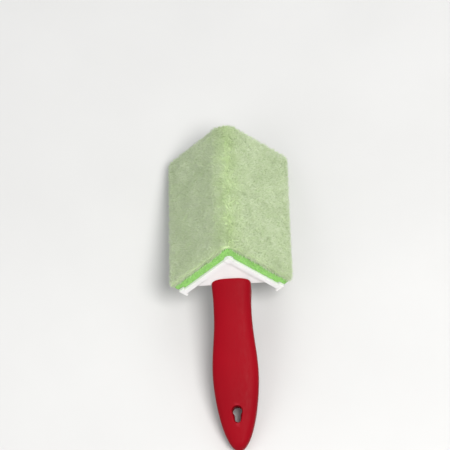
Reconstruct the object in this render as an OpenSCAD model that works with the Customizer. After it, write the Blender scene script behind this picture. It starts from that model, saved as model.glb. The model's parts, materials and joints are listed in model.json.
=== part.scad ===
// Corner pad painter: a V-shaped painting pad for inside corners, on a paddle handle.
// Frame: origin at the centre of the hang hole, +X across the tool, +Y towards the far end of
// the pad, +Z up from the table that the tool rests on, pad side up.

/* [Pad] */
// Length of the pad along its ridge
pad_len = 115; // [100:1:125]
// Half of the angle between the two wings at rest
half_angle = 45; // [44:0.5:46]
// Width of the pile on each wing, from the hinge axis
pile_w = 50; // [48:0.5:52]
// Thickness of the foam
foam_t = 6; // [4.5:0.5:7]
// Height of the pile with its base cloth
pile_t = 4.2; // [3:0.1:5]

/* [Wings] */
// Width of each wing plate, from the hinge axis
wing_w = 48.5; // [47:0.5:50]
// Thickness of a wing plate
wing_t = 2.4; // [2:0.1:2.8]
// Angle that a wing flexes each way
flex = 2.5; // [2:0.5:4]
// Thickness of the refill's backing sheet
backing_t = 1.1; // [0.9:0.1:1.4]

/* [Handle] */
// Length from the shoulder to the tip
handle_len = 117; // [112:1:122]
// Greatest width of the handle
belly_w = 32.4; // [30:0.2:34]
// Width of the handle's neck
neck_w = 26.6; // [26:0.2:28]
// Thickness of the neck
neck_t = 16; // [15:0.5:17]
// Angle between the handle and the pad's ridge
handle_angle = 30; // [28:0.5:32]
// Wall thickness of the handle
handle_wall = 2.2; // [1.8:0.1:2.6]
// Radius of the hang hole's round end
hole_r = 3.4; // [3:0.1:3.8]

/* [Hidden] */
$fn = 64;
eps = 0.01;

// Hinge along the ridge: a rod with an end cap on the centre frame, and a curved seat on each
// wing around the rod. The plate starts further out below its middle, to stay clear of the web.
rod_r = 1.2;
seat_r = rod_r + 0.06;
seat_t = 0.8;
seat_from = 2;
barrel_r = seat_r + seat_t;
wing_start = 1.6;
plate_start = 2.8;
cap_gap = 0.2;
cap_reach = plate_start - 0.3;
wing_half_t = wing_t / 2;

// Layers of the refill, as heights above the middle of the wing plate
layer_gap = 0.1;
backing_n = wing_half_t + layer_gap;
foam_n = backing_n + backing_t;
pile_n = foam_n + foam_t;
pad_n = pile_n + pile_t;
fold_r = barrel_r + layer_gap;
fold_top = fold_r + backing_t;
fold_half = 38;
fold_gap = 5.5;
fold_from = asin(backing_n / fold_r);
mitre = flex + 0.3;
mitre_angle = 180 - half_angle - mitre;
foam_w = pile_w - 1;

// Edge rail of a wing
rail_wall = 1.6;
rail_lip_n = foam_n + 0.2;
rail_lip_t = 1.2;
rail_lip_w = 4;
backing_w = wing_w - rail_wall - 0.2;
undercut_w = wing_w - rail_lip_w - 0.4;
undercut_n = rail_lip_n + rail_lip_t + 0.3;
stop_t = 1.6;
stop_gap = 0.2;
rib_h = 2;
rib_t = 1.6;
rib_start = 12;
wing_ribs = [20, 54, 88];

// Centre frame: end wall, web, ribs and the socket for the handle's tang
end_wall_t = 2.5;
web_t = 1.4;
frame_len = pad_len - 5;
base_drop = 28;
nose_drop = 14;
ramp_start = 20;
flange_w = 15;
flange_t = 2.2;
frame_ribs = [38, 71, frame_len - 2];
rib_clear = wing_half_t + 0.35;
tang_w = 18;
tang_z = [-5, 3];
tang_len = 15;
tang_root = 8;
tang_fit = 0.15;
socket_wall = 2.2;
handle_drop = 30;
boss_w = 26;
boss_drop = 41;

// Handle
handle_root = 8;
neck_len = 20;
belly_at = 62.8;
shoulder_w = 28;
shoulder_len = 12;
taper_power = 1.7;
front_z = neck_t / 2;
back_z = -7.5;
tip_front_z = 2;
crown_from = 58;
outline_step = 1 / 28;
shoulder_gap = 0.05;
cavity_end = -6;
reach = 40;
rib_inset = 1.2;
handle_ribs = [22, 38, 54, 70];
hole_at = 89.5;
slot_r = 0.65 * hole_r;
slot_step = 1.62 * hole_r;
hole_wall = 2.2;
dish = 1;

// Screws that hold the tang in the socket
screw_x = 5.5;
screw_y = 9;
screw_r = 1.45;
screw_hole_r = 1.7;
pilot_r = 1.5;
pilot_len = 7;
screw_len = 9;
head_r = 3.1;
head_t = 2;
head_rim = 0.8;
recess_w = 1;
recess_len = 3.6;
recess_t = 1.1;

// Tool frame: the table touches the far corners of both wings and the handle's tip
wing_corner = [pad_len, -wing_w * cos(half_angle) - (wing_half_t + rib_h) * sin(half_angle)];
tip_corner = in_ridge(-handle_len, back_z);
table_angle = atan2(wing_corner[1] - tip_corner[1], wing_corner[0] - tip_corner[0]);
hole_centre = in_ridge(-hole_at, 0);

// Handle coordinates (along, out) as ridge coordinates (along, out)
function in_ridge(y, z) = [
    y * cos(handle_angle) - z * sin(handle_angle),
    y * sin(handle_angle) + z * cos(handle_angle) - handle_drop];
function arc(x, y, r, a0, a1, n = 8) =
    [for (i = [0 : n]) let (a = a0 + (a1 - a0) * i / n) [x + r * cos(a), y + r * sin(a)]];
// A point at a along a wing and n out of it, with the wing at q from the middle plane
function on_section(a, n, q) = [a * sin(q) + n * cos(q), n * sin(q) - a * cos(q)];
// A point beside the wing's inner face when the wing is squeezed in as far as it goes
function beside_wing(a) = on_section(a, -rib_clear, half_angle - flex);
function width_at_drop(drop) = let (q = half_angle - flex) (drop - rib_clear * sin(q)) / cos(q);
// Lower edge of the web at a place along the ridge
function web_drop(s) = s < ramp_start ? base_drop
    : base_drop - (base_drop - nose_drop) * (s - ramp_start) / (frame_len - ramp_start);

// Half width of the handle at t from the shoulder
function flare(t) = t < shoulder_len
    ? (shoulder_w - neck_w) / 2 * pow(1 - max(t, 0) / shoulder_len, 2) : 0;
function half_w(t) = t < neck_len ? neck_w / 2 + flare(t)
    : t < belly_at
        ? neck_w / 2 + (belly_w - neck_w) / 4 * (1 - cos(180 * (t - neck_len) / (belly_at - neck_len)))
        : belly_w / 2 * sqrt(max(0, 1 - pow((t - belly_at) / (handle_len - belly_at), taper_power)));
// Height of the handle's front face at t from the shoulder
function front_at(t) = t < crown_from ? front_z
    : front_z - (front_z - tip_front_z) * pow((t - crown_from) / (handle_len - crown_from), 2);

module in_tool_frame() {
    rotate([-table_angle, 0, 0])
        translate([0, -hole_centre[0], -hole_centre[1]]) children();
}

module in_handle_frame() {
    translate([0, 0, -handle_drop]) rotate([handle_angle, 0, 0]) children();
}

// Wing coordinates: X from the hinge outwards, Y along the ridge, Z out of the pad's face
module on_wing(side) {
    mirror([side < 0 ? 1 : 0, 0, 0]) rotate([0, 90 - half_angle, 0]) children();
}

// Extrudes an XZ outline along the ridge, from s0 to s1
module along_ridge(s0, s1) {
    translate([0, s1, 0]) rotate([90, 0, 0]) linear_extrude(s1 - s0) children();
}

// Ring sector about the hinge axis
module ring(r0, r1, a0, a1) {
    intersection() {
        difference() {
            circle(r1);
            circle(r0);
        }
        polygon(concat([[0, 0]], arc(0, 0, 2 * r1, a0, a1)));
    }
}

// ---------- wings ----------

module wing(side) {
    in_tool_frame() on_wing(side) {
        along_ridge(0, pad_len) union() {
            ring(seat_r, barrel_r, seat_from, mitre_angle);
            polygon([[wing_start, 0], [plate_start, -wing_half_t], [wing_w, -wing_half_t],
                [wing_w, wing_half_t], [wing_start, wing_half_t]]);
        }
        along_ridge(-stop_t - stop_gap, stop_t)
            translate([plate_start, -wing_half_t]) square([wing_w - plate_start, wing_t]);
        edge_rail();
        near_stop();
        wing_ribs();
    }
}

module edge_rail() {
    along_ridge(-stop_t - stop_gap, pad_len) {
        translate([wing_w - rail_wall, -wing_half_t])
            square([rail_wall, rail_lip_n + rail_lip_t + wing_half_t]);
        translate([wing_w - rail_lip_w, rail_lip_n]) square([rail_lip_w, rail_lip_t]);
    }
}

// Low wall that the refill's backing butts against
module near_stop() {
    along_ridge(-stop_t - stop_gap, -stop_gap)
        translate([plate_start, -eps]) square([wing_w - plate_start, foam_n + eps]);
}

module wing_ribs() {
    for (s = wing_ribs)
        translate([rib_start, s, -wing_half_t - rib_h])
            cube([wing_w - rib_start, rib_t, rib_h + eps]);
    translate([wing_w - rib_t, -stop_t - stop_gap, -wing_half_t - rib_h])
        cube([rib_t, pad_len + stop_t + stop_gap, rib_h + eps]);
}

module wing_left() { color("whitesmoke") wing(-1); }
module wing_right() { color("whitesmoke") wing(1); }

// ---------- refill ----------

// Sheet over the ridge that joins the two backing panels
module backing_fold() {
    color("white") in_tool_frame()
        along_ridge(0, pad_len) ring(fold_r, fold_top, 90 - fold_half, 90 + fold_half);
}

module backing(side) {
    fold_to = 180 - half_angle - fold_half - fold_gap;
    in_tool_frame() on_wing(side) along_ridge(0, pad_len) union() {
        ring(fold_r, fold_top, fold_from, fold_to);
        translate([fold_r, backing_n]) square([backing_w - fold_r, backing_t]);
    }
}

module backing_left() { color("white") backing(-1); }
module backing_right() { color("white") backing(1); }

// Layer of a pad half between heights n0 and n1, mitred at the ridge so that it can flex
module pad_layer(side, n0, n1, width) {
    in_tool_frame() on_wing(side) along_ridge(0, pad_len)
        difference() {
            polygon([[n0 / tan(mitre_angle), n0], [width, n0], [width, n1],
                [n1 / tan(mitre_angle), n1]]);
            circle(fold_top + layer_gap / 2);
            translate([undercut_w, 0]) square([width, max(n0, undercut_n)]);
        }
}

module foam_left() { color("limegreen") pad_layer(-1, foam_n, pile_n, foam_w); }
module foam_right() { color("limegreen") pad_layer(1, foam_n, pile_n, foam_w); }
module pile_left() { color("darkseagreen") pad_layer(-1, pile_n, pad_n, pile_w); }
module pile_right() { color("darkseagreen") pad_layer(1, pile_n, pad_n, pile_w); }

// ---------- centre frame ----------

module centre_frame() {
    color("white") in_tool_frame() difference() {
        union() {
            along_ridge(-stop_t, frame_len) circle(rod_r);
            hinge_cap();
            centre_web();
            frame_flange();
            for (s = frame_ribs) frame_rib(s, rib_t, web_drop(s));
            frame_rib(0, end_wall_t, base_drop);
            along_ridge(0, end_wall_t)
                translate([-boss_w / 2, -boss_drop]) square([boss_w, boss_drop - base_drop + 2]);
            intersection() {
                in_handle_frame() socket();
                translate([-boss_w, 0, -2 * boss_w]) cube(2 * boss_w);
            }
        }
        in_handle_frame() {
            tang(tang_fit);
            screw_pair() translate([0, 0, -handle_drop])
                cylinder(r = screw_hole_r, h = handle_drop + tang_z[0]);
        }
    }
}

// Extrudes a side outline, given as [along the ridge, out], evenly about the middle
module across(width) {
    translate([-width / 2, 0, 0]) rotate([90, 0, 90]) linear_extrude(width) children();
}

module centre_web() {
    across(web_t) polygon([[0, 0], [frame_len, 0], [frame_len, -nose_drop],
        [ramp_start, -base_drop], [0, -base_drop]]);
}

// End cap of the hinge rod, drawn to carry on the line of the wings' near stops
module hinge_cap() {
    top = on_section(cap_reach, foam_n, half_angle);
    low = on_section(cap_reach, -wing_half_t, half_angle);
    along_ridge(-stop_t - stop_gap, -cap_gap)
        polygon([[0, foam_n / sin(half_angle)], top, low, [-low[0], low[1]], [-top[0], top[1]]]);
}

// Cross rib that fills the V between the wings, clear of them at full squeeze
module frame_rib(s, t, drop) {
    foot = beside_wing(width_at_drop(drop));
    neck = beside_wing(plate_start + 0.2);
    along_ridge(s, s + t)
        polygon([neck, foot, [-foot[0], foot[1]], [-neck[0], neck[1]]]);
}

// Flange along the lower edge of the web
module frame_flange() {
    across(flange_w) polygon([[0, -base_drop], [ramp_start, -base_drop], [frame_len, -nose_drop],
        [frame_len, flange_t - nose_drop], [ramp_start, flange_t - base_drop],
        [0, flange_t - base_drop]]);
}

module socket() {
    w = tang_w + 2 * (tang_fit + socket_wall);
    z0 = tang_z[0] - tang_fit - socket_wall;
    z1 = tang_z[1] + tang_fit + socket_wall;
    translate([-w / 2, -tang_root, z0])
        cube([w, tang_root + tang_len + tang_fit + socket_wall, z1 - z0]);
}

// ---------- handle ----------

module tang(grow) {
    translate([-tang_w / 2 - grow, -tang_root, tang_z[0] - grow])
        cube([tang_w + 2 * grow, tang_root + tang_len + grow, tang_z[1] - tang_z[0] + 2 * grow]);
}

// Body outline seen from the front; inset draws it smaller all round
module handle_outline(inset) {
    edge = [for (u = [0 : outline_step : 1 + eps]) let (t = handle_len * (1 - pow(1 - u, 2)))
        if (half_w(t) > inset + 0.2 && t + inset < handle_len + eps) [half_w(t) - inset, -t]];
    right = concat([[edge[0][0], handle_root]], edge);
    left = [for (i = [len(right) - 1 : -1 : 0]) [-right[i][0], right[i][1]]];
    polygon(concat(right, left));
}

// Body outline seen from the side, from floor_z up to the front face
module handle_profile(inset, floor_z) {
    crown = [for (u = [0 : outline_step : 1 + eps]) let (t = handle_len * u)
        [-t, front_at(t) - inset]];
    polygon(concat([[handle_root, floor_z], [handle_root, front_z - inset]], crown,
        [[-handle_len, floor_z]]));
}

module handle_solid(inset, floor_z) {
    intersection() {
        translate([0, 0, -reach]) linear_extrude(2 * reach) handle_outline(inset);
        translate([-reach, 0, 0]) rotate([90, 0, 90]) linear_extrude(2 * reach)
            handle_profile(inset, floor_z);
    }
}

// Hollow in the back of the handle, closed towards the shoulder
module handle_cavity() {
    intersection() {
        handle_solid(handle_wall, back_z - 1);
        translate([-reach, cavity_end - handle_len, -reach]) cube([2 * reach, handle_len, 2 * reach]);
    }
}

// Long rib, cross ribs and the tube round the hang hole, all inside the hollow
module handle_ribs() {
    low = back_z + rib_inset;
    intersection() {
        union() {
            translate([-rib_t / 2, -hole_at + hole_r, low]) cube([rib_t, hole_at + cavity_end, reach]);
            for (t = handle_ribs)
                translate([-reach, -t - rib_t / 2, low]) cube([2 * reach, rib_t, reach]);
            translate([0, 0, back_z]) linear_extrude(reach) hang_outline(hole_wall);
        }
        handle_solid(handle_wall / 2, back_z);
    }
}

// Keyhole outline of the hang hole: round end, and a narrower end towards the tip
module hang_outline(grow) {
    translate([0, -hole_at]) circle(hole_r + grow);
    translate([0, -hole_at - slot_step]) circle(slot_r + grow);
    translate([-slot_r - grow, -hole_at - slot_step]) square([2 * (slot_r + grow), slot_step]);
}

// Sunk edge round the hang hole on the front face
module hang_dish() {
    for (end = [[0, hole_r], [slot_step, slot_r]]) let (t = hole_at + end[0])
        translate([0, -t, front_at(t) - dish]) cylinder(r1 = end[1], r2 = end[1] + 3 * dish, h = 3 * dish);
}

module handle_body() {
    difference() {
        handle_solid(0, back_z);
        handle_cavity();
    }
    handle_ribs();
}

module handle() {
    color("crimson") in_tool_frame() difference() {
        union() {
            intersection() {
                in_handle_frame() handle_body();
                translate([-reach, -2 * handle_len - shoulder_gap, -handle_len])
                    cube([2 * reach, 2 * handle_len, 2 * handle_len]);
            }
            in_handle_frame() tang(0);
        }
        in_handle_frame() {
            translate([0, 0, -reach]) linear_extrude(2 * reach) hang_outline(0);
            hang_dish();
            screw_pair() translate([0, 0, tang_z[0] - 1]) cylinder(r = pilot_r, h = pilot_len + 1);
        }
    }
}

// ---------- screws ----------

module screw_pair() {
    for (x = [-screw_x, screw_x]) translate([x, screw_y, 0]) children();
}

// Self-tapping screw with a cross recess, its head under the socket
module screw() {
    seat_z = tang_z[0] - tang_fit - socket_wall;
    face_z = seat_z - head_t;
    translate([0, 0, seat_z]) cylinder(r = screw_r, h = screw_len);
    difference() {
        union() {
            translate([0, 0, face_z]) cylinder(r1 = head_r - head_rim, r2 = head_r, h = head_rim);
            translate([0, 0, face_z + head_rim]) cylinder(r = head_r, h = head_t - head_rim);
        }
        for (a = [0, 90]) translate([0, 0, face_z]) rotate([0, 0, a])
            cube([recess_len, recess_w, 2 * recess_t], center = true);
    }
}

module handle_screws() {
    color("silver") in_tool_frame() in_handle_frame() screw_pair() screw();
}

handle();
centre_frame();
handle_screws();
wing_left();
wing_right();
backing_fold();
backing_left();
backing_right();
foam_left();
foam_right();
pile_left();
pile_right();
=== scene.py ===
"""Looks for the corner pad painter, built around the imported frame.

Lengths are in metres. Two local frames are used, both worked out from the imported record:
ridge frame   X across the tool, Y along the pad's ridge from the handle end, Z out of the ridge
handle frame  X across the tool, Y from the hang hole towards the pad, Z out of the front face
"""

import json
import math

import bmesh
import bpy
import numpy as np
from mathutils import Matrix, Vector, noise
from mathutils.bvhtree import BVHTree


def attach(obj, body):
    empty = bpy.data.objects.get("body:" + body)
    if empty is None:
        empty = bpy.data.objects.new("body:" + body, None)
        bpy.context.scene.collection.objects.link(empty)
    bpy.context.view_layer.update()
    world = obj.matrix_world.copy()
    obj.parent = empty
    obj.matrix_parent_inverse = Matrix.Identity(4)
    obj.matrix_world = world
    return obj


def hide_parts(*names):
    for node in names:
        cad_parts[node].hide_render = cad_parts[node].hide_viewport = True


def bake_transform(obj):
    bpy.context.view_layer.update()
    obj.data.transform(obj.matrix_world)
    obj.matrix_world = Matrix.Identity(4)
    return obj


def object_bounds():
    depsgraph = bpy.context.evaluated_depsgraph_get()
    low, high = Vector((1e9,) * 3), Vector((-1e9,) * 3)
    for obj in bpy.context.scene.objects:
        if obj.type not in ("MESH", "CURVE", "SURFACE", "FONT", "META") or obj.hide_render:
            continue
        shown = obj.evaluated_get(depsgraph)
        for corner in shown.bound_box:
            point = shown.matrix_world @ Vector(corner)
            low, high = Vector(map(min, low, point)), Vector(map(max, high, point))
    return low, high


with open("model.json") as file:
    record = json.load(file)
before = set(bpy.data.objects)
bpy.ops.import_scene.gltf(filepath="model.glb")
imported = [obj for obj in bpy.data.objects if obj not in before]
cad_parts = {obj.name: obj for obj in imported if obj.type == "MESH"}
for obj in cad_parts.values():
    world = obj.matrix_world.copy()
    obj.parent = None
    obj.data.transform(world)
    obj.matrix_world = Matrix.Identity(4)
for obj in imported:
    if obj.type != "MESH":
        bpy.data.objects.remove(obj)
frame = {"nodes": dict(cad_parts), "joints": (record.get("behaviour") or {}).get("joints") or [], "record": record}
cad_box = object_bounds()

MM = 0.001
SIDES = {"left": -1, "right": 1}

# ---------- directions, places and levels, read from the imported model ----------

joints = {j["name"]: j for j in frame["joints"]}
mounts = {m["name"]: m for m in frame["record"]["mounts"]}
ACROSS = Vector((1, 0, 0))
RIDGE = Vector(joints["refill_slide"]["axis"]).normalized()
OUT = ACROSS.cross(RIDGE)
HINGE = Vector(joints["right_wing_flex"]["pos_m"])
WING_NORMAL = Vector(mounts["wall_face_right"]["axis"]).normalized()
WING_ALONG = RIDGE.cross(WING_NORMAL)
FRONT = Vector(mounts["hang_hole"]["axis"]).normalized()
HANDLE_UP = FRONT.cross(ACROSS)
HOLE = Vector(mounts["hang_hole"]["pos_m"])
HOLE_R = mounts["hang_hole"]["dims"]["r_mm"] * MM


def reach(node, direction, origin=HINGE, above=None):
    """How far a CAD node reaches along a direction, as (least, most).
    With above, only the vertices that are higher than that along the wing's normal count."""
    points = [v.co - origin for v in frame["nodes"][node].data.vertices]
    far = [p.dot(direction) for p in points if above is None or p.dot(WING_NORMAL) > above]
    return min(far), max(far)


def axes(origin, x, y, z):
    """Matrix of a frame with this origin and these three directions."""
    matrix = Matrix((x, y, z)).transposed().to_4x4()
    matrix.translation = origin
    return matrix


NEAR_S, FAR_S = reach("pile_right", RIDGE)
PAD_LEN = FAR_S - NEAR_S
RIDGE_FRAME = axes(HINGE + RIDGE * NEAR_S, ACROSS, RIDGE, OUT)
HANDLE_FRAME = axes(HOLE, ACROSS, HANDLE_UP, FRONT)

TILT = math.atan2(WING_NORMAL.dot(ACROSS), WING_NORMAL.dot(OUT))
FOAM_LOW, FOAM_TOP = reach("foam_right", WING_NORMAL)
PILE_TOP = reach("pile_right", WING_NORMAL)[1]
FOAM_W = reach("foam_right", WING_ALONG)[1]
PILE_W = reach("pile_right", WING_ALONG)[1]
RAIL_TOP = reach("wing_right", WING_NORMAL)[1]
RAIL_INNER = reach("wing_right", WING_ALONG, above=RAIL_TOP - 0.1 * MM)[0]
FOLD_R = reach("backing_fold", OUT)[1]

# The foam's ridge is rounded, and the pile lies over it at the same centre
FOAM_RIDGE_R = 4.0 * MM
CORE = FOAM_TOP - FOAM_RIDGE_R
CORE_Z = CORE / math.cos(TILT)


def wing_point(side, along, normal):
    """(x, z) in the ridge frame of a point at these distances along and out of a wing."""
    x = along * math.cos(TILT) + normal * math.sin(TILT)
    z = normal * math.cos(TILT) - along * math.sin(TILT)
    return side * x, z


def level_of(points):
    """Height above the wings' middle plane of points in the ridge frame, over the rounded ridge too."""
    x, z = np.abs(points[:, 0]), points[:, 2]
    flat = x * math.sin(TILT) + z * math.cos(TILT)
    rounded = CORE + np.hypot(x, z - CORE_Z)
    return np.where(x < (z - CORE_Z) * math.tan(TILT), rounded, flat)


# ---------- mesh helpers ----------


def new_object(name, mesh):
    """Puts a mesh into the scene."""
    obj = bpy.data.objects.new(name, mesh)
    bpy.context.scene.collection.objects.link(obj)
    return obj


def mesh_object(name, points, faces):
    """Object with these points and faces, its normals turned outwards."""
    mesh = bpy.data.meshes.new(name)
    mesh.from_pydata([tuple(p) for p in points], [], [tuple(f) for f in faces])
    bm = bmesh.new()
    bm.from_mesh(mesh)
    bmesh.ops.recalc_face_normals(bm, faces=bm.faces)
    bm.to_mesh(mesh)
    bm.free()
    return new_object(name, mesh)


def baked(obj):
    """Puts the result of an object's modifiers into its mesh."""
    bpy.context.view_layer.update()
    depsgraph = bpy.context.evaluated_depsgraph_get()
    mesh = bpy.data.meshes.new_from_object(obj.evaluated_get(depsgraph), depsgraph=depsgraph)
    obj.modifiers.clear()
    obj.data = mesh
    return obj


def modified(obj, kind, **settings):
    """Adds a modifier with these settings and puts its result into the mesh."""
    modifier = obj.modifiers.new(kind.lower(), kind)
    for key, value in settings.items():
        setattr(modifier, key, value)
    return baked(obj)


def combine(obj, other, operation):
    """Boolean of two closed meshes; the second one is used up."""
    modified(obj, "BOOLEAN", operation=operation, solver="EXACT", object=other)
    bpy.data.objects.remove(other, do_unlink=True)
    return obj


def coords(mesh):
    """Vertex positions of a mesh as an array."""
    points = np.empty(len(mesh.vertices) * 3, np.float32)
    mesh.vertices.foreach_get("co", points)
    return points.reshape(-1, 3).astype(float)


def set_coords(mesh, points):
    """Moves the vertices of a mesh to these points."""
    mesh.vertices.foreach_set("co", points.astype(np.float32).ravel())
    mesh.update()


def vertex_normals(mesh):
    """Vertex normals of a mesh as an array."""
    values = np.empty(len(mesh.vertices) * 3, np.float32)
    mesh.vertices.foreach_get("normal", values)
    return values.reshape(-1, 3).astype(float)


def set_value(mesh, name, values):
    """Stores one number for each vertex, for a material to read."""
    attribute = mesh.attributes.new(name, "FLOAT", "POINT")
    attribute.data.foreach_set("value", np.asarray(values, np.float32))


def noise_at(points, size, shift=0.0):
    """Smooth noise from -1 to 1 at each point, with features of a size in metres."""
    return np.array([noise.noise(Vector(p) / size + Vector((shift,) * 3)) for p in points])


def noise_vectors(points, size):
    """Smooth random directions, with features of a size in metres. They follow noise.seed_set."""
    return np.array([noise.noise_vector(Vector(p) / size) for p in points])


def smooth(obj, angle=None):
    """Smooth shading, with edges above an angle in degrees kept sharp if one is given."""
    obj.data.polygons.foreach_set("use_smooth", [True] * len(obj.data.polygons))
    if angle is not None:
        obj.data.set_sharp_from_angle(angle=math.radians(angle))
    return obj


def arc(centre, radius, start, end, steps):
    """Points on an arc, with angles in degrees from +X towards the second axis."""
    cx, cy = centre
    turns = [math.radians(start + (end - start) * i / steps) for i in range(steps + 1)]
    return [(cx + radius * math.cos(t), cy + radius * math.sin(t)) for t in turns]


def loft(name, rings):
    """Closed solid through rings of points, each ring with the same number of points."""
    n = len(rings[0])
    points = [p for ring in rings for p in ring]
    faces = [tuple(range(n)), tuple(range((len(rings) - 1) * n, len(rings) * n))]
    for k in range(len(rings) - 1):
        for i in range(n):
            j = (i + 1) % n
            faces.append((k * n + i, k * n + j, (k + 1) * n + j, (k + 1) * n + i))
    return mesh_object(name, points, faces)


def prism_along_ridge(name, outline, low, high):
    """Solid with an (x, z) outline in the ridge frame, from low to high along the ridge."""
    return loft(name, [[(x, y, z) for x, z in outline] for y in (low, high)])


def half_of(name, obj, side):
    """Copy of one side of a solid that straddles the ridge, closed at the middle plane."""
    bm = bmesh.new()
    bm.from_mesh(obj.data)
    geometry = bm.verts[:] + bm.edges[:] + bm.faces[:]
    cut = bmesh.ops.bisect_plane(bm, geom=geometry, plane_co=(0, 0, 0), plane_no=(side, 0, 0),
                                 clear_inner=True, dist=1e-7)
    edges = [e for e in cut["geom_cut"] if isinstance(e, bmesh.types.BMEdge)]
    bmesh.ops.triangle_fill(bm, use_beauty=True, edges=edges)
    bmesh.ops.recalc_face_normals(bm, faces=bm.faces)
    mesh = bpy.data.meshes.new(name)
    bm.to_mesh(mesh)
    bm.free()
    return new_object(name, mesh)


def placed(obj, matrix):
    """Moves a finished mesh from its local frame into the shared frame."""
    obj.data.transform(matrix)
    obj.data.update()
    return obj


def finish_piece(obj, mat):
    """Gives a piece its only material."""
    obj.data.materials.clear()
    obj.data.materials.append(mat)


def bend_with_refill(obj):
    """Puts the piece's placement into its mesh; nothing bends."""
    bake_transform(obj)


# ---------- material helpers ----------


class Paint:
    """A Principled material under construction."""

    def __init__(self, name, roughness):
        self.material = bpy.data.materials.new(name)
        self.material.use_nodes = True
        self.tree = self.material.node_tree
        self.shader = self.tree.nodes["Principled BSDF"]
        self.value("Roughness", roughness)

    def value(self, socket, value):
        self.put(self.shader.inputs[socket], value)

    def put(self, socket, value):
        if isinstance(value, bpy.types.NodeSocket):
            self.tree.links.new(value, socket)
        elif socket.type == "RGBA" and len(value) == 3:
            socket.default_value = (*value, 1)
        else:
            socket.default_value = value

    def add(self, kind, inputs, **settings):
        node = self.tree.nodes.new(kind)
        for key, value in settings.items():
            setattr(node, key, value)
        for key, value in inputs.items():
            self.put(node.inputs[key], value)
        return node

    def place(self, stretch=None):
        place = self.add("ShaderNodeTexCoord", {}).outputs["Object"]
        if stretch is None:
            return place
        return self.add("ShaderNodeMapping", {"Vector": place, "Scale": stretch}).outputs[0]

    def cloud(self, scale, detail=3.0, stretch=None):
        """Noise from 0 to 1, with a scale in features per metre."""
        inputs = {"Vector": self.place(stretch), "Scale": scale, "Detail": detail}
        return self.add("ShaderNodeTexNoise", inputs).outputs["Fac"]

    def attribute(self, name):
        return self.add("ShaderNodeAttribute", {}, attribute_name=name).outputs["Fac"]

    def ramp(self, value, stops):
        """Colour ramp with stops of (place, colour)."""
        node = self.add("ShaderNodeValToRGB", {"Fac": value})
        elements = node.color_ramp.elements
        while len(elements) < len(stops):
            elements.new(0.5)
        for element, (place, colour) in zip(elements, stops):
            element.position = place
            element.color = (*colour, 1)
        return node.outputs["Color"]

    def mix(self, share, first, second, blend_type="MIX"):
        node = self.add("ShaderNodeMix", {}, data_type="RGBA", blend_type=blend_type)
        for index, value in ((0, share), (6, first), (7, second)):
            self.put(node.inputs[index], value)
        return node.outputs[2]

    def span(self, value, low, high, start=0.0, end=1.0):
        """Maps start..end to low..high, and stops at both ends."""
        inputs = {"Value": value, "From Min": start, "From Max": end, "To Min": low, "To Max": high}
        return self.add("ShaderNodeMapRange", inputs).outputs[0]

    def bump(self, height, strength, distance):
        inputs = {"Height": height, "Strength": strength, "Distance": distance}
        self.value("Normal", self.add("ShaderNodeBump", inputs).outputs[0])


def shade(colour, factor):
    """Colour made darker or lighter by a factor."""
    return tuple(c * factor for c in colour)


# ---------- materials ----------

RED = (0.255, 0.002, 0.008)
WORN_RED = (0.40, 0.03, 0.05)
WHITE = (0.82, 0.82, 0.815)
SHEET = (0.72, 0.75, 0.72)
FOAM_WALL = (0.35, 0.69, 0.20)
# Colour inside the foam's cells: darker, as painted shade in the hollows
FOAM_CELL_SHADE = (0.195, 0.49, 0.09)
# Pile colours from tip down to root: the darker, greener mid and root colours are painted shade deep in the nap
PILE_TIP = (0.82, 0.89, 0.71)
PILE_MID = (0.64, 0.76, 0.46)
PILE_ROOT_SHADE = (0.43, 0.57, 0.22)
ZINC = (0.62, 0.63, 0.64)


def red_plastic():
    """Moulded red plastic: slight flow shading, paler worn edges, faint scuffs and a fine skin."""
    paint = Paint("handle_red", 0.4)
    flow = paint.ramp(paint.cloud(25, 2), [(0.3, shade(RED, 0.92)), (0.7, shade(RED, 1.04))])
    edge = paint.add("ShaderNodeNewGeometry", {}).outputs["Pointiness"]
    worn = paint.span(edge, 0, 0.30, 0.515, 0.60)
    paint.value("Base Color", paint.mix(worn, flow, WORN_RED))
    scuffs = paint.cloud(700, 5, stretch=(1, 0.25, 1))
    paint.value("Roughness", paint.span(scuffs, 0.40, 0.58, 0.3, 0.7))
    paint.value("Specular IOR Level", 0.05)
    paint.bump(paint.cloud(2400, 2), 0.10, 0.06 * MM)
    return paint.material


def white_plastic():
    """Moulded white plastic: faint cloudiness, a touch of handling grime and a fine skin."""
    paint = Paint("frame_white", 0.42)
    grime = paint.ramp(paint.cloud(60, 5), [(0.30, shade(WHITE, 0.93)), (0.55, WHITE)])
    paint.value("Base Color", grime)
    paint.value("Roughness", paint.span(paint.cloud(500, 4), 0.34, 0.52, 0.3, 0.7))
    paint.value("Subsurface Weight", 0.08)
    paint.value("Subsurface Radius", (0.6 * MM, 0.6 * MM, 0.6 * MM))
    paint.bump(paint.cloud(2200, 2), 0.10, 0.06 * MM)
    return paint.material


def sheet_plastic():
    """Thin extruded sheet: fine drawn lines along the ridge."""
    paint = Paint("backing_white", 0.5)
    lines = paint.cloud(1400, 2, stretch=(1, 0.03, 1))
    stops = [(0.35, shade(SHEET, 0.94)), (0.65, SHEET)]
    paint.value("Base Color", paint.ramp(lines, stops))
    paint.value("Roughness", paint.span(lines, 0.42, 0.6, 0.3, 0.7))
    paint.bump(lines, 0.15, 0.05 * MM)
    return paint.material


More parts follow.
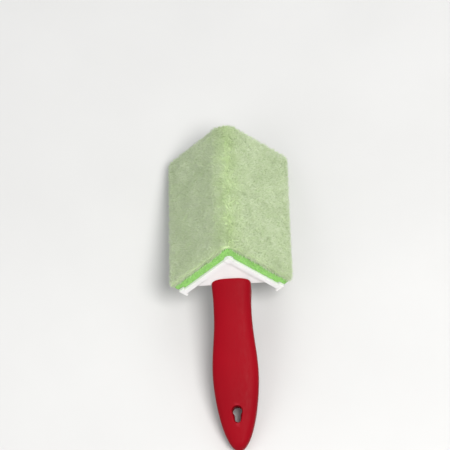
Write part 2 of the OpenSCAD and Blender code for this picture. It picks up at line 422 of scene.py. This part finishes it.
def green_foam():
    """Open-cell foam: walls paler than the cells, whose hollows are painted darker as painted shade, with the
    deeper hollows darker still as painted shade.
    """
    paint = Paint("foam_green", 0.9)
    inputs = {"Vector": paint.place(), "Scale": 1500.0}
    cells = paint.add("ShaderNodeTexVoronoi", inputs, feature="DISTANCE_TO_EDGE").outputs[0]
    # Pale walls and darker cell hollows: the darkness is painted shade
    walls = paint.ramp(cells, [(0.03, FOAM_WALL), (0.30, FOAM_CELL_SHADE)])
    patches = paint.ramp(paint.cloud(180), [(0.35, (0.86,) * 3), (0.7, (1.0,) * 3)])
    # Points pressed deeper into the foam are painted darker: painted shade in the pits
    pit_shade = paint.ramp(paint.attribute("pit"), [(0.0, (1.0,) * 3), (1.0, (0.62, 0.72, 0.55))])
    colour = paint.mix(1.0, paint.mix(1.0, walls, patches, "MULTIPLY"), pit_shade, "MULTIPLY")
    paint.value("Base Color", colour)
    paint.value("Subsurface Weight", 0.12)
    paint.value("Subsurface Radius", (0.3 * MM, 1.0 * MM, 0.2 * MM))
    paint.bump(cells, 0.6, 0.25 * MM)
    return paint.material


def green_pile():
    """Pile fibres: darker and greener towards the root than at the tip, as painted shade deep in the nap, in soft
    patches where the nap lies.
    """
    paint = Paint("pile_green", 0.85)
    height = paint.attribute("height")
    # Colour along each fibre, darkening towards the root: painted shade
    along = paint.ramp(height, [(0.0, PILE_ROOT_SHADE), (0.5, PILE_MID), (1.0, PILE_TIP)])
    patches = paint.ramp(paint.cloud(80, 4), [(0.3, (0.86, 0.89, 0.82)), (0.7, (1.0,) * 3)])
    even = paint.mix(1.0, along, patches, "MULTIPLY")
    dull = paint.mix(1.0, even, (0.82, 0.86, 0.78), "MULTIPLY")
    paint.value("Base Color", paint.mix(paint.attribute("tint"), dull, even))
    paint.value("Sheen Weight", 0.3)
    paint.value("Sheen Roughness", 0.5)
    paint.value("Specular IOR Level", 0.25)
    paint.bump(paint.cloud(2600, 2), 0.3, 0.1 * MM)
    return paint.material


def zinc():
    """Zinc-plated steel: brushed, with a slightly uneven plating."""
    paint = Paint("screw_steel", 0.35)
    plating = paint.ramp(paint.cloud(900, 4), [(0.3, shade(ZINC, 0.8)), (0.7, ZINC)])
    paint.value("Base Color", plating)
    paint.value("Metallic", 1.0)
    paint.value("Roughness", paint.span(paint.cloud(2500, 3, stretch=(1, 6, 1)), 0.25, 0.5))
    return paint.material


# ---------- handle ----------

HANDLE_LOW = reach("handle", FRONT, HOLE)[0]
TIP_Y = reach("handle", HANDLE_UP, HOLE)[0]
# The shoulder lies against the end wall, in a plane across the ridge
SHOULDER_Y = (NEAR_S - (HOLE - HINGE).dot(RIDGE)) / HANDLE_UP.dot(RIDGE)
SHOULDER_SLOPE = -FRONT.dot(RIDGE) / HANDLE_UP.dot(RIDGE)
SHOULDER_GAP = 0.06 * MM
HANDLE_WALL = 2.2 * MM
# Curve of the crowned front: 2 is an ellipse, and more is squarer
CROWN = 2.7
CROWN_DEPTH = 6.0 * MM
CROWN_STEPS = 32
RIM_R = 0.9 * MM
INNER_RIM_R = 0.3 * MM
# The tip is rounded over this length, starting from this share of the full height
TIP_ROUND = 5.0 * MM
TIP_LOW_SHARE = 0.4
# Sections along the handle: closer together over the tip, then even
TIP_LEN = 24 * MM
TIP_STEPS = 22
BODY_STEPS = 46
# The sections tilt towards the shoulder's plane over this length, up to a small rounded edge
TILT_LEN = 24 * MM
SHOULDER_EDGE_R = 0.6 * MM
CAVITY_TOP_Y = SHOULDER_Y - 9 * MM
CAVITY_BELOW = 3 * MM
# Smaller end of the hang hole, and the distance between the centres of its two ends
SLOT_R = 0.65 * HOLE_R
SLOT_STEP = 1.62 * HOLE_R
ROUND_STEPS = 26
SLOT_STEPS = 16
# Sunk edge of the hang hole
EDGE_WIDE = 1.0 * MM
EDGE_DEEP = 3.0 * MM
EDGE_STEPS = 8
HOLE_OVERRUN = 4 * MM
# Ribs in the hollow back
RIB_HALF_T = 0.8 * MM
RIB_INSET = 1.2 * MM
RIB_TOP = 20 * MM
RIB_COUNT = 4
RIB_SHIFT = 0.15
PILOT_R = 1.5 * MM


def cad_tree(node, matrix):
    """Search tree of a CAD node's surface in a local frame."""
    into = matrix.inverted()
    mesh = frame["nodes"][node].data
    points = [into @ v.co for v in mesh.vertices]
    return BVHTree.FromPolygons(points, [tuple(p.vertices) for p in mesh.polygons])


HANDLE_TREE = cad_tree("handle", HANDLE_FRAME)
FAR_AWAY = 80 * MM


def half_width(y):
    """Half width of the CAD handle at a place along it, found with a ray from the side."""
    hit = HANDLE_TREE.ray_cast(Vector((FAR_AWAY, y, 0)), Vector((-1, 0, 0)))[0]
    return hit.x if hit else 0.0


def front_height(y):
    """Height of the CAD handle's front face, found with a ray beside the hang hole."""
    x = 0.8 * half_width(y)
    hit = HANDLE_TREE.ray_cast(Vector((x, y, FAR_AWAY)), Vector((0, 0, -1)))[0]
    return hit.z if hit else 0.0


def handle_places(low, high):
    """Places along the handle, closer together towards the tip."""
    turns = [math.pi / 2 * i / TIP_STEPS for i in range(TIP_STEPS + 1)]
    tip = [low + TIP_LEN * (1 - math.cos(turn)) for turn in turns]
    body = [tip[-1] + (high - tip[-1]) * i / BODY_STEPS for i in range(1, BODY_STEPS + 1)]
    return tip + body


def crowned_section(w, front, low, rim):
    """Cross-section with a crowned front, nearly straight sides and a rounded lower rim."""
    depth = min(CROWN_DEPTH, (front - low) * 0.5)
    centre = front - depth
    points = []
    for i in range(CROWN_STEPS + 1):
        turn = math.pi * i / CROWN_STEPS
        c, s = math.cos(turn), math.sin(turn)
        x = w * math.copysign(abs(c) ** (2 / CROWN), c)
        points.append((x, centre + depth * abs(s) ** (2 / CROWN)))
    foot = arc((rim - w, low + rim), rim, 180, 270, 5)
    other = [(-x, z) for x, z in reversed(foot)]
    return points + foot + other


def tip_height(y):
    """Share of the full height that the rounded tip has at a place along the handle."""
    inward = min(1.0, max(0.0, (y - TIP_Y) / TIP_ROUND))
    return TIP_LOW_SHARE + (1 - TIP_LOW_SHARE) * math.sqrt(1 - (1 - inward) ** 2)


def handle_rings(places, inset, low, rim):
    """Rings of a handle-shaped solid, smaller by inset all round."""
    rings = []
    for y in places:
        w = max(half_width(y) - inset, 0.15 * MM)
        front = low + (front_height(y) - inset - low) * tip_height(y)
        rim_r = min(rim, w * 0.45)
        rings.append([(x, y, z) for x, z in crowned_section(w, front, low, rim_r)])
    return rings


def slanted(rings, start):
    """Tilts rings beyond start step by step, until the last one lies along the shoulder's plane."""
    made = []
    for ring in rings:
        share = max(0.0, (ring[0][1] - start) / (SHOULDER_Y - start))
        slope = SHOULDER_SLOPE * share * share * (3 - 2 * share)
        made.append([(x, y + slope * z, z) for x, y, z in ring])
    return made


def shrunk(ring, inset, forward):
    """Copy of a ring drawn smaller towards its middle and moved along the handle."""
    middle = sum((Vector(p) for p in ring), Vector()) / len(ring)
    made = []
    for p in ring:
        away = Vector(p) - middle
        away.y = 0
        q = Vector(p) - away.normalized() * inset
        made.append((q.x, q.y + forward - SHOULDER_SLOPE * (p[2] - q.z), q.z))
    return made


def handle_shell():
    """Outer body of the handle, with rounded ends."""
    r = SHOULDER_EDGE_R
    places = handle_places(TIP_Y + 0.02 * MM, SHOULDER_Y - SHOULDER_GAP - r)
    rings = slanted(handle_rings(places, 0.0, HANDLE_LOW, RIM_R), SHOULDER_Y - TILT_LEN)
    last = rings[-1]
    for turn in (0.5, 1.0, math.pi / 2):
        rings.append(shrunk(last, r * (1 - math.cos(turn)), r * math.sin(turn)))
    return loft("handle_body", rings)


def handle_cavity():
    """Hollow in the back of the handle, as a solid to cut out."""
    places = handle_places(TIP_Y + HANDLE_WALL, CAVITY_TOP_Y)
    low = HANDLE_LOW - CAVITY_BELOW
    return loft("cavity", handle_rings(places, HANDLE_WALL, low, INNER_RIM_R))


def rounded_bar(name, low, high, z0, z1):
    """Upright bar between two corners (x, y), with a rounded lower edge along its length."""
    (x0, y0), (x1, y1) = low, high
    t = min(x1 - x0, y1 - y0) / 2
    section = arc((0, z0 + t), t, 180, 360, 8) + [(t, z1), (-t, z1)]
    if x1 - x0 < y1 - y0:
        middle = (x0 + x1) / 2
        return loft(name, [[(middle + u, y, z) for u, z in section] for y in (y0, y1)])
    middle = (y0 + y1) / 2
    return loft(name, [[(x, middle + u, z) for u, z in section] for x in (x0, x1)])


def keyhole(grow):
    """Outline of the hang hole: a round end, and a narrower end nearer the tip."""
    round_r, slot_r = HOLE_R + grow, SLOT_R + grow
    meet = math.degrees(math.acos(slot_r / round_r))
    top = arc((0, 0), round_r, -meet, 180 + meet, ROUND_STEPS)
    return top + arc((0, -SLOT_STEP), slot_r, 180, 360, SLOT_STEPS)


def oval(grow):
    """Outline of the sunk edge at the front face: as keyhole, with straight sides between the ends."""
    lean = 90 - math.degrees(math.acos((HOLE_R - SLOT_R) / SLOT_STEP))
    top = arc((0, 0), HOLE_R + grow, -lean, 180 + lean, ROUND_STEPS)
    return top + arc((0, -SLOT_STEP), SLOT_R + grow, 180 + lean, 360 - lean, SLOT_STEPS)


def keyhole_solid(name, steps):
    """Solid through outlines at (growth, height, share of oval) steps, sloped like the front face."""
    slope = (front_height(6 * MM) - front_height(-12 * MM)) / (18 * MM)
    rings = []
    for grow, z, share in steps:
        pairs = zip(keyhole(grow), oval(grow))
        outline = [Vector(p).lerp(Vector(q), share) for p, q in pairs]
        rings.append([(x, y, z + slope * y) for x, y in outline])
    return loft(name, rings)


def hang_hole_cutter():
    """Bore of the hang hole, with a sunk edge that rounds over into the front face."""
    top = front_height(0)
    steps = [(0, HANDLE_LOW - HOLE_OVERRUN, 0)]
    for i in range(EDGE_STEPS + 1):
        turn = math.pi / 2 * i / EDGE_STEPS
        rise = math.sin(turn)
        steps.append((EDGE_WIDE * (1 - math.cos(turn)), top - EDGE_DEEP + EDGE_DEEP * rise, rise))
    steps.append((EDGE_WIDE, top + HOLE_OVERRUN, 1))
    return keyhole_solid("hole", steps)


def handle_ribs():
    """Long rib, cross ribs and the tube round the hang hole, kept inside the hollow."""
    low, high, t = HANDLE_LOW + RIB_INSET, RIB_TOP, RIB_HALF_T
    tube_low = HANDLE_LOW + 0.3 * MM
    ribs = keyhole_solid("ribs", [(HANDLE_WALL, tube_low, 0), (HANDLE_WALL, high, 0)])
    long_rib = rounded_bar("rib", (-t, HOLE_R), (t, CAVITY_TOP_Y + 2 * MM), low, high)
    combine(ribs, long_rib, "UNION")
    pitch = (CAVITY_TOP_Y - HOLE_R) / (RIB_COUNT + 1)
    for k in range(1, RIB_COUNT + 1):
        y = HOLE_R + pitch * (k + RIB_SHIFT)
        cross = rounded_bar("rib", (-FAR_AWAY, y - t), (FAR_AWAY, y + t), low, high)
        combine(ribs, cross, "UNION")
    places = handle_places(TIP_Y + HANDLE_WALL / 2, CAVITY_TOP_Y + 1 * MM)
    inside = loft("inside", handle_rings(places, HANDLE_WALL / 2, HANDLE_LOW, INNER_RIM_R))
    return combine(ribs, inside, "INTERSECT")


def screw_places():
    """(x, y) of each screw in the handle frame."""
    into = HANDLE_FRAME.inverted()
    points = np.array([into @ v.co for v in frame["nodes"]["handle_screws"].data.vertices])
    made = []
    for side in SIDES.values():
        own = points[points[:, 0] * side > 0]
        made.append((own.min(0) + own.max(0)) / 2)
    return made


def tang():
    """Tongue that goes into the frame's socket, with a chamfered end and a screw hole each side."""
    y1 = reach("handle", HANDLE_UP, HOLE)[1]
    probe_y = y1 - 2 * MM
    w = HANDLE_TREE.ray_cast(Vector((FAR_AWAY, probe_y, -1 * MM)), Vector((-1, 0, 0)))[0].x
    top = HANDLE_TREE.ray_cast(Vector((w / 2, probe_y, FAR_AWAY)), Vector((0, 0, -1)))[0].z
    low = HANDLE_TREE.ray_cast(Vector((0, probe_y, -FAR_AWAY)), Vector((0, 0, 1)))[0].z
    chamfer = 0.8 * MM

    def ring(y, inset):
        a, b, c = w - inset, low + inset, top - inset
        return [(a, y, b), (a, y, c), (-a, y, c), (-a, y, b)]

    body = loft("tang", [ring(SHOULDER_Y - 8 * MM, 0), ring(y1 - chamfer, 0), ring(y1, chamfer)])
    for place in screw_places():
        outline = arc((place[0], place[1]), PILOT_R, 0, 345, 23)
        hole = loft("pilot", [[(x, y, z) for x, y in outline] for z in (low - 1 * MM, top - 1 * MM)])
        combine(body, hole, "DIFFERENCE")
    return body


def build_handle():
    """Hollow handle with its ribs, hang hole and tang, in one piece."""
    handle = handle_shell()
    combine(handle, handle_cavity(), "DIFFERENCE")
    combine(handle, handle_ribs(), "UNION")
    combine(handle, hang_hole_cutter(), "DIFFERENCE")
    combine(handle, tang(), "UNION")
    placed(smooth(handle, 38), HANDLE_FRAME)
    finish_piece(handle, red_plastic())
    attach(handle, "holder")
    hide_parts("handle")


# ---------- foam ----------

FOAM_VOXEL = 0.5 * MM
# Gaps that the foam keeps to the rails and to the backing's fold
RAIL_GAP_UP = 0.3 * MM
RAIL_GAP_SIDE = 0.4 * MM
FOLD_GAP = 0.05 * MM
# Cells: their size, how deep they are, and how wide the walls between them are and slope
CELL = 1.5 * MM
PIT_DEPTH = 0.32 * MM
CELL_WALL = 0.08
CELL_SLOPE = 0.45
GRAIN = 0.8 * MM
GRAIN_DEPTH = 0.06 * MM


def foam_solid():
    """Both foam layers as one V, wrapped round the fold and cut back over the edge rails."""
    under = RAIL_TOP + RAIL_GAP_UP
    inner = RAIL_INNER - RAIL_GAP_SIDE
    fold = FOLD_R + FOLD_GAP
    meet = math.degrees(math.asin(FOAM_LOW / fold) - TILT)
    slope = math.degrees(TILT)
    right = [wing_point(1, a, n) for a, n in ((inner, FOAM_LOW), (inner, under), (FOAM_W, under),
                                              (FOAM_W, FOAM_TOP))]
    left = [(-x, z) for x, z in reversed(right)]
    ridge = arc((0, CORE_Z), FOAM_RIDGE_R, 90 - slope, 90 + slope, 12)
    wrap = arc((0, 0), fold, 180 - meet, meet, 24)
    return prism_along_ridge("foam", right + ridge + left + wrap, 0, PAD_LEN)


def add_cells(obj):
    """Presses the cells of open foam into a surface, and stores how deep each point lies."""
    points, directions = coords(obj.data), vertex_normals(obj.data)
    depth = []
    for p in points:
        nearest = noise.voronoi(Vector(p) / CELL)[0]
        depth.append(min(1.0, max(0.0, (nearest[1] - nearest[0] - CELL_WALL) / CELL_SLOPE)))
    depth = np.array(depth)
    rough = noise_at(points, GRAIN) * GRAIN_DEPTH
    set_coords(obj.data, points - directions * (depth * PIT_DEPTH + np.abs(rough))[:, None])
    set_value(obj.data, "pit", depth)


def build_foam():
    """One foam piece for each side, cut from a single V."""
    whole = foam_solid()
    modified(whole, "REMESH", mode="VOXEL", voxel_size=FOAM_VOXEL)
    modified(whole, "SMOOTH", factor=0.5, iterations=3)
    add_cells(whole)
    foam = green_foam()
    for name, side in SIDES.items():
        half = smooth(placed(half_of("foam_pad_" + name, whole, side), RIDGE_FRAME))
        finish_piece(half, foam)
        bend_with_refill(half)
        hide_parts("foam_" + name)
    bpy.data.objects.remove(whole, do_unlink=True)


# ---------- pile ----------

PILE_BODY = PILE_TOP - 1.5 * MM
PILE_RIDGE_R = 8.5 * MM
PILE_INSET = 0.5 * MM
PILE_VOXEL = 1.5 * MM
# Swelling: the cloth is pinned below this height over the foam, and moves no further than the cap
PINNED_BELOW = 0.6 * MM
PUFF_PRESSURE = 4
PUFF_CAP = 0.9 * MM
PUFF_FRAMES = 20
# Tufts: how many, how long and thick, and how deep their roots lie in the body
FIBRES = 38000
FIBRE_SEED = 11
# Without a seed of its own the noise of the swirls follows the clock, and differs from run to run
SWIRL_SEED = 1794808651
FIBRE_LEN = 2.2 * MM
FIBRE_R = 0.19 * MM
SUNK = 0.35 * MM
# Tufts lean away from the ridge, in swirls of two sizes, with a little of their own
LEAN_AWAY = 0.40
LEAN_LEAST = 0.15
STRAY = 0.16
EDGE_W = 2 * MM
# The longer wisps at the far end, left of the ridge
WISP_X = -9 * MM
WISP_W = 2.5 * MM
# Parting along the ridge, and the greener zone of painted shade on both sides of it
PARTING_W = 2.2 * MM
PARTING_DEPTH = 0.35 * MM
RIDGE_SHADE_W = 7.0 * MM


def pile_solid():
    """The pile's dense body as one V over the foam, before it swells."""
    slope = math.degrees(TILT)
    low, top = FOAM_TOP + 0.02 * MM, PILE_BODY
    outer = PILE_W - PILE_INSET
    over_z = (top - PILE_RIDGE_R) / math.cos(TILT)
    over = arc((0, over_z), PILE_RIDGE_R, 90 - slope, 90 + slope, 16)
    under = arc((0, CORE_Z), low - CORE, 90 + slope, 90 - slope, 10)
    right = [wing_point(1, outer, low), wing_point(1, outer, top)]
    left = [(-x, z) for x, z in reversed(right)]
    return prism_along_ridge("pile", right + over + left + under, PILE_INSET, PAD_LEN - PILE_INSET)


def puff(obj, pinned):
    """Cloth simulation with air pressure: the cloth swells where it isn't pinned."""
    start = coords(obj.data)
    group = obj.vertex_groups.new(name="pinned")
    group.add([int(i) for i in np.nonzero(pinned)[0]], 1.0, "REPLACE")
    cloth = obj.modifiers.new("cloth", "CLOTH")
    cloth.settings.vertex_group_mass = "pinned"
    cloth.settings.use_pressure = True
    cloth.settings.uniform_pressure_force = PUFF_PRESSURE
    cloth.settings.effector_weights.gravity = 0
    cloth.point_cache.frame_end = PUFF_FRAMES
    for number in range(1, PUFF_FRAMES + 1):
        bpy.context.scene.frame_set(number)
    baked(obj)
    bpy.context.scene.frame_set(1)
    move = coords(obj.data) - start
    far = np.linalg.norm(move, axis=1)
    share = np.minimum(1.0, PUFF_CAP / np.maximum(far, 1e-9))
    set_coords(obj.data, start + move * share[:, None])


def parting(points):
    """How much each point lies in the parting along the ridge, from 0 to 1."""
    wander = noise_at(points * (0, 1, 0), 14 * MM) * 0.8 * MM
    strength = 0.75 + 0.35 * noise_at(points * (0, 1, 0), 6 * MM, 5.0)
    return np.exp(-(((points[:, 0] - wander) / PARTING_W) ** 2)) * strength


def ridge_shade(points):
    """How much painted shade each point gets from lying near the ridge, where the nap parts, from 0 to 1, in
    uneven patches: it makes the pile darker and greener there.
    """
    wander = noise_at(points * (0, 1, 0), 18 * MM, 7.0) * 1.6 * MM
    near = np.exp(-(((points[:, 0] - wander) / RIDGE_SHADE_W) ** 2))
    blotches = 0.62 + 0.75 * noise_at(points, 4 * MM, 2.0) + 0.3 * noise_at(points, 1.6 * MM, 4.0)
    return np.clip(near * blotches, 0, 1)


def add_lumps(obj):
    """Uneven nap: broad waves, small clumps, and the parting along the ridge."""
    points, directions = coords(obj.data), vertex_normals(obj.data)
    above = np.clip((level_of(points) - FOAM_TOP - 0.8 * MM) / MM, 0, 1)
    waves = noise_at(points, 9 * MM) * 0.22 * MM
    clumps = noise_at(points, 1.5 * MM, 3.0) * 0.20 * MM
    lift = waves + clumps - parting(points) * PARTING_DEPTH
    set_coords(obj.data, points + directions * (lift * above)[:, None])


def surface_samples(mesh, count, wanted, random):
    """Points spread over a mesh by area: (points, smooth normals). wanted picks the triangles."""
    mesh.calc_loop_triangles()
    corners = np.empty(len(mesh.loop_triangles) * 3, np.int32)
    mesh.loop_triangles.foreach_get("vertices", corners)
    corners = corners.reshape(-1, 3)
    points, directions = coords(mesh), vertex_normals(mesh)
    a, b, c = (points[corners[:, k]] for k in range(3))
    area = np.linalg.norm(np.cross(b - a, c - a), axis=1) * wanted((a + b + c) / 3)
    total = np.cumsum(area)
    pick = np.searchsorted(total, (np.arange(count) + random.random(count)) / count * total[-1])
    pick = np.minimum(pick, len(total) - 1)
    u, v = random.random(count), random.random(count)
    flip = u + v > 1
    u, v = np.where(flip, 1 - u, u), np.where(flip, 1 - v, v)
    weights = np.stack([1 - u - v, u, v], 1)[:, :, None]
    roots = (points[corners[pick]] * weights).sum(1)
    normals = (directions[corners[pick]] * weights).sum(1)
    return roots, normals / np.linalg.norm(normals, axis=1)[:, None]


def unit(vectors):
    """Vectors scaled to a length of 1."""
    return vectors / np.maximum(np.linalg.norm(vectors, axis=1), 1e-9)[:, None]


def grow_fibres(body):
    """Roots, bends, tips and thicknesses of the pile's tufts."""
    random = np.random.default_rng(FIBRE_SEED)
    noise.seed_set(SWIRL_SEED)

    def on_face(p):
        return level_of(p) > FOAM_TOP + 0.5 * MM

    roots, normal = surface_samples(body.data, FIBRES, on_face, random)
    side = np.sign(roots[:, 0])
    zero = np.zeros(len(side))
    outward = np.stack([side * math.cos(TILT), zero, zero - math.sin(TILT)], 1)
    from_ridge = np.clip(np.abs(roots[:, 0]) / (3 * MM), 0, 1)[:, None]
    near_end = np.clip(1 - roots[:, 1] / EDGE_W, 0, 1)
    far_end = np.clip(1 - (PAD_LEN - roots[:, 1]) / EDGE_W, 0, 1)
    wisp = np.exp(-(((roots[:, 0] - WISP_X) / WISP_W) ** 2)) * far_end * random.random(len(side))
    overhang = np.stack([zero, 1.8 * wisp + 0.6 * far_end - 0.9 * near_end, 0.4 * wisp], 1)
    swirl = noise_vectors(roots, 5 * MM) * 0.5 + noise_vectors(roots, 1.3 * MM) * 0.45
    stray = random.normal(0, STRAY, (len(side), 3))
    lean = outward * (LEAN_AWAY * from_ridge + LEAN_LEAST) + swirl + stray + overhang
    direction = unit(normal + lean)
    length = FIBRE_LEN * random.uniform(0.75, 1.2, len(side))
    length *= 1 + 0.25 * noise_at(roots, 4 * MM, 9.0)
    length *= 1 - 0.15 * parting(roots)
    length *= 1 + 0.4 * near_end + 0.4 * far_end + 3.0 * wisp
    droop = unit(direction + 0.55 * lean)
    start = roots - normal * SUNK
    bend = roots + direction * (length * 0.55)[:, None]
    tip = bend + droop * (length * 0.5)[:, None]
    radius = FIBRE_R * random.uniform(0.8, 1.15, len(side))
    return start, bend, tip, radius, random


def fibre_piece(name, start, bend, tip, radius, tint, shadow):
    """Tapered three-sided fibres as one mesh: a root ring, a bend ring and a point for each."""
    count = len(start)
    axis = unit(bend - start)
    helper = np.where(np.abs(axis[:, 1:2]) < 0.8, [[0.0, 1.0, 0.0]], [[1.0, 0.0, 0.0]])
    u = unit(np.cross(axis, helper))
    v = np.cross(axis, u)
    rings = []
    for centre, share in ((start, 1.0), (bend, 0.85)):
        for k in range(3):
            turn = 2 * math.pi * k / 3
            ray = u * math.cos(turn) + v * math.sin(turn)
            rings.append(centre + ray * (radius * share)[:, None])
    points = np.stack(rings + [tip], 1).reshape(-1, 3)
    faces = []
    for k in range(3):
        j = (k + 1) % 3
        faces += [(k, j, 3 + j), (k, 3 + j, 3 + k), (3 + k, 3 + j, 6)]
    faces.append((2, 1, 0))
    pattern = np.array(faces)
    every = (np.arange(count)[:, None, None] * 7 + pattern[None]).reshape(-1, 3)
    mesh = bpy.data.meshes.new(name)
    mesh.from_pydata(points, [], every)
    # Root ring darkest, bend ring lighter, tip palest: painted shade deep in the nap
    heights = np.array([0.3] * 3 + [0.72] * 3 + [1.0])
    set_value(mesh, "height", (heights[None] * shadow[:, None]).ravel())
    set_value(mesh, "tint", np.repeat(tint, 7))
    return new_object(name, mesh)


def build_pile():
    """Swollen body of the pile and the tufts on it, as two pieces for each side."""
    body = pile_solid()
    modified(body, "REMESH", mode="VOXEL", voxel_size=PILE_VOXEL)
    puff(body, level_of(coords(body.data)) < FOAM_TOP + PINNED_BELOW)
    modified(body, "SUBSURF", levels=2)
    start, bend, tip, radius, random = grow_fibres(body)
    add_lumps(body)
    # Body between the tufts painted at a mid shade of the ramp, darker still near the ridge: painted shade
    set_value(body.data, "height", 0.5 - 0.16 * ridge_shade(coords(body.data)))
    set_value(body.data, "tint", 0.5 + 0.5 * noise_at(coords(body.data), 2 * MM))
    sunk = parting(start)
    tint = np.clip(0.5 + random.normal(0, 0.22, len(start)), 0, 1)
    # Tufts near the ridge are pushed towards the root colour: painted shade
    shadow = 1 - 0.42 * ridge_shade(start)
    bottom = -PARTING_DEPTH * sunk[:, None] * unit(bend - start)
    start, bend, tip = start + bottom, bend + bottom, tip + bottom
    pile = green_pile()
    for name, side in SIDES.items():
        half = smooth(placed(half_of("pile_pad_" + name, body, side), RIDGE_FRAME))
        own = start[:, 0] * side > 0
        fibres = fibre_piece("pile_fibres_" + name, start[own], bend[own], tip[own], radius[own],
                             tint[own], shadow[own])
        placed(smooth(fibres), RIDGE_FRAME)
        for piece in (half, fibres):
            finish_piece(piece, pile)
            bend_with_refill(piece)
            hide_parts("pile_" + name)
    bpy.data.objects.remove(body, do_unlink=True)


# ---------- CAD parts that stay as they are ----------


def dress(node, mat, edge):
    """Gives a CAD part its material and softens its edges; the mesh itself isn't touched."""
    obj = frame["nodes"][node]
    weld = obj.modifiers.new("weld", "WELD")
    weld.merge_threshold = 0.002 * MM
    bevel = obj.modifiers.new("edges", "BEVEL")
    bevel.width = edge
    bevel.segments = 2
    bevel.limit_method = "ANGLE"
    bevel.angle_limit = math.radians(35)
    split = obj.modifiers.new("split", "EDGE_SPLIT")
    split.split_angle = math.radians(50)
    even = obj.modifiers.new("even", "WEIGHTED_NORMAL")
    even.weight = 90
    obj.data.polygons.foreach_set("use_smooth", [True] * len(obj.data.polygons))
    finish_piece(obj, mat)


def dress_cad_parts():
    """White mouldings, backing sheets and screws, which keep their CAD shape."""
    white, sheet = white_plastic(), sheet_plastic()
    for node in ("centre_frame", "wing_left", "wing_right"):
        dress(node, white, 0.3 * MM)
    for node in ("backing_fold", "backing_left", "backing_right"):
        dress(node, sheet, 0.12 * MM)
    dress("handle_screws", zinc(), 0.12 * MM)


# ---------- stage, light and camera ----------

CAMERA_TILT = math.radians(39.8)
CAMERA_TURN = math.radians(2.0)
CAMERA_ROLL = math.radians(-3.15)
CAMERA_DISTANCE = 2.0
CAMERA_FIELD = 0.3195
CAMERA_AIM = Vector((-2.3, 36.5, -6.1)) * MM


def camera_axes():
    """Right, up and back directions of the camera, in the shared frame."""
    up = Vector((0, math.cos(CAMERA_TILT), math.sin(CAMERA_TILT)))
    right = Vector((math.cos(CAMERA_TURN), math.sin(CAMERA_TURN) * math.sin(CAMERA_TILT),
                    -math.sin(CAMERA_TURN) * math.cos(CAMERA_TILT)))
    c, s = math.cos(CAMERA_ROLL), math.sin(CAMERA_ROLL)
    right, up = right * c + up * s, up * c - right * s
    turn = RIDGE_FRAME.to_3x3()
    return turn @ right, turn @ up, turn @ right.cross(up)


def add_camera(right, up, back):
    """Camera with a long lens, looking along -back at the aim point."""
    data = bpy.data.cameras.new("camera")
    data.sensor_width = 36
    data.lens = data.sensor_width * CAMERA_DISTANCE / CAMERA_FIELD
    data.clip_start, data.clip_end = 0.05, 50
    camera = bpy.data.objects.new("camera", data)
    bpy.context.scene.collection.objects.link(camera)
    camera.matrix_world = axes(RIDGE_FRAME @ CAMERA_AIM + back * CAMERA_DISTANCE, right, up, back)
    bpy.context.scene.camera = camera


def add_light(name, place, size, power, colour):
    """Round area light that faces the camera's aim point."""
    data = bpy.data.lights.new(name, "AREA")
    data.shape = "DISK"
    data.size = size
    data.energy = power
    data.color = colour
    light = bpy.data.objects.new(name, data)
    bpy.context.scene.collection.objects.link(light)
    light.location = place
    aim = RIDGE_FRAME @ CAMERA_AIM
    light.rotation_euler = (aim - place).to_track_quat("-Z", "Y").to_euler()


def add_floor():
    """Plain pale floor at the height of the lowest CAD point."""
    paint = Paint("floor", 0.7)
    pale = paint.ramp(paint.cloud(8, 4), [(0.3, (0.60, 0.60, 0.595)), (0.7, (0.63, 0.63, 0.625))])
    paint.value("Base Color", pale)
    z, far = cad_box[0].z, 12.0
    corners = [(-far, -far, z), (far, -far, z), (far, far, z), (-far, far, z)]
    floor = mesh_object("floor", corners, [(0, 1, 2, 3)])
    floor.data.materials.append(paint.material)


def build_stage():
    """Camera, floor, three soft lights and an even pale surround."""
    right, up, back = camera_axes()
    add_camera(right, up, back)
    add_floor()
    aim = RIDGE_FRAME @ CAMERA_AIM
    key = aim + right * 0.38 + up * 0.15 + back * 1.38
    add_light("key", key, 0.7, 19, (1.0, 0.985, 0.965))
    add_light("fill", aim - right * 1.0 - up * 0.3 + back * 1.2, 1.2, 6.2, (1.0, 1.0, 0.97))
    add_light("top", aim + right * 0.2 + up * 1.4 + back * 0.6, 0.9, 3.5, (1.0, 1.0, 1.0))
    world = bpy.data.worlds.new("studio")
    world.use_nodes = True
    world.node_tree.nodes["Background"].inputs["Color"].default_value = (0.97, 0.98, 1.0, 1)
    world.node_tree.nodes["Background"].inputs["Strength"].default_value = 0.5
    bpy.context.scene.world = world
    bpy.context.scene.view_settings.view_transform = "Standard"


build_handle()
build_foam()
build_pile()
dress_cad_parts()
build_stage()
